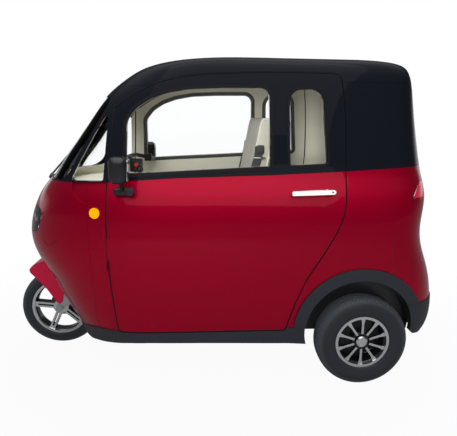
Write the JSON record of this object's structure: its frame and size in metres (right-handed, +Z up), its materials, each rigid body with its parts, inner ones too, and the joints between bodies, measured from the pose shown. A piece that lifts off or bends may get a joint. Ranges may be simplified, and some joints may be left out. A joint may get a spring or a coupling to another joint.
{
  "type": "three wheeled car",
  "caption": "Small electric car with an enclosed cabin, a single steered front wheel, hinged side doors and two driven rear wheels.",
  "frame": {"origin": "middle of the footprint, on the ground", "axes": "+Y towards the rear, +X towards the car's left side, +Z up"},
  "size_m": [1.31, 2.269, 1.6],
  "materials": {
    "red_paint": "gloss",
    "black_plastic": "matte",
    "black_paint": "gloss",
    "beige_trim": "matte",
    "clear_glass": "polished",
    "chassis_steel": "satin",
    "battery_case": "matte",
    "seat_cloth": "soft",
    "axle_steel": "satin",
    "lamp_lens": "clear",
    "red_lens": "clear",
    "amber_lens": "clear",
    "bright_chrome": "polished",
    "wheel_alloy": "machined",
    "tyre_rubber": "matte"
  },
  "bodies": {
    "body": {"nose_panel": "red_paint", "front_fenders": "red_paint", "rear_body": "red_paint", "sills": "black_plastic", "arch_flares": "black_plastic", "rear_bumper": "black_plastic", "roof_panel": "black_paint", "cab_frame": "black_paint", "cabin_liner": "beige_trim", "cabin_windows": "clear_glass", "front_wheel_well": "black_plastic", "wheel_housings": "black_plastic", "floor_pan": "chassis_steel", "battery_block": "battery_case", "dashboard": "beige_trim", "driver_seat": "seat_cloth", "rear_bench": "seat_cloth", "rear_axle": "axle_steel", "rear_springs": "chassis_steel", "headlamps": "lamp_lens", "tail_lamps": "red_lens", "side_reflectors": "amber_lens", "windscreen_wiper": "black_plastic", "plate_carrier": "black_plastic"},
    "door_left": {"door_panel_left": "red_paint", "door_frame_left": "black_paint", "door_card_left": "beige_trim", "door_glass_left": "clear_glass", "door_handle_left": "bright_chrome", "door_mirror_left": "black_plastic"},
    "door_right": {"door_panel_right": "red_paint", "door_frame_right": "black_paint", "door_card_right": "beige_trim", "door_glass_right": "clear_glass", "door_handle_right": "bright_chrome", "door_mirror_right": "black_plastic"},
    "steering": {"steering_fork": "chassis_steel", "front_mudguard": "red_paint", "handlebar": "black_plastic"},
    "front_wheel": {"front_rim": "wheel_alloy", "front_tyre": "tyre_rubber"},
    "rear_wheel_left": {"rear_rim_left": "wheel_alloy", "rear_tyre_left": "tyre_rubber"},
    "rear_wheel_right": {"rear_rim_right": "wheel_alloy", "rear_tyre_right": "tyre_rubber"}
  },
  "joints": [
    {"name": "door_left_hinge", "type": "hinge", "parent": "body", "child": "door_left", "pos_m": [0.528, -0.541, 0.7], "axis": [0.0436, 0, -0.999], "range_deg": [0, 65]},
    {"name": "door_right_hinge", "type": "hinge", "parent": "body", "child": "door_right", "pos_m": [-0.528, -0.541, 0.7], "axis": [0.0436, 0, 0.999], "range_deg": [0, 65]},
    {"name": "steering_turn", "type": "hinge", "parent": "body", "child": "steering", "pos_m": [0, -0.887, 0.221], "axis": [0, 0.4067, 0.9135], "range_deg": [-35, 35]},
    {"name": "front_wheel_spin", "type": "hinge", "parent": "steering", "child": "front_wheel", "pos_m": [0, -0.911, 0.221], "axis": [1, 0, 0], "continuous": true},
    {"name": "rear_wheel_left_spin", "type": "hinge", "parent": "body", "child": "rear_wheel_left", "pos_m": [0.481, 0.692, 0.228], "axis": [1, 0, 0], "continuous": true},
    {"name": "rear_wheel_right_spin", "type": "hinge", "parent": "body", "child": "rear_wheel_right", "pos_m": [-0.481, 0.692, 0.228], "axis": [1, 0, 0], "continuous": true}
  ]
}
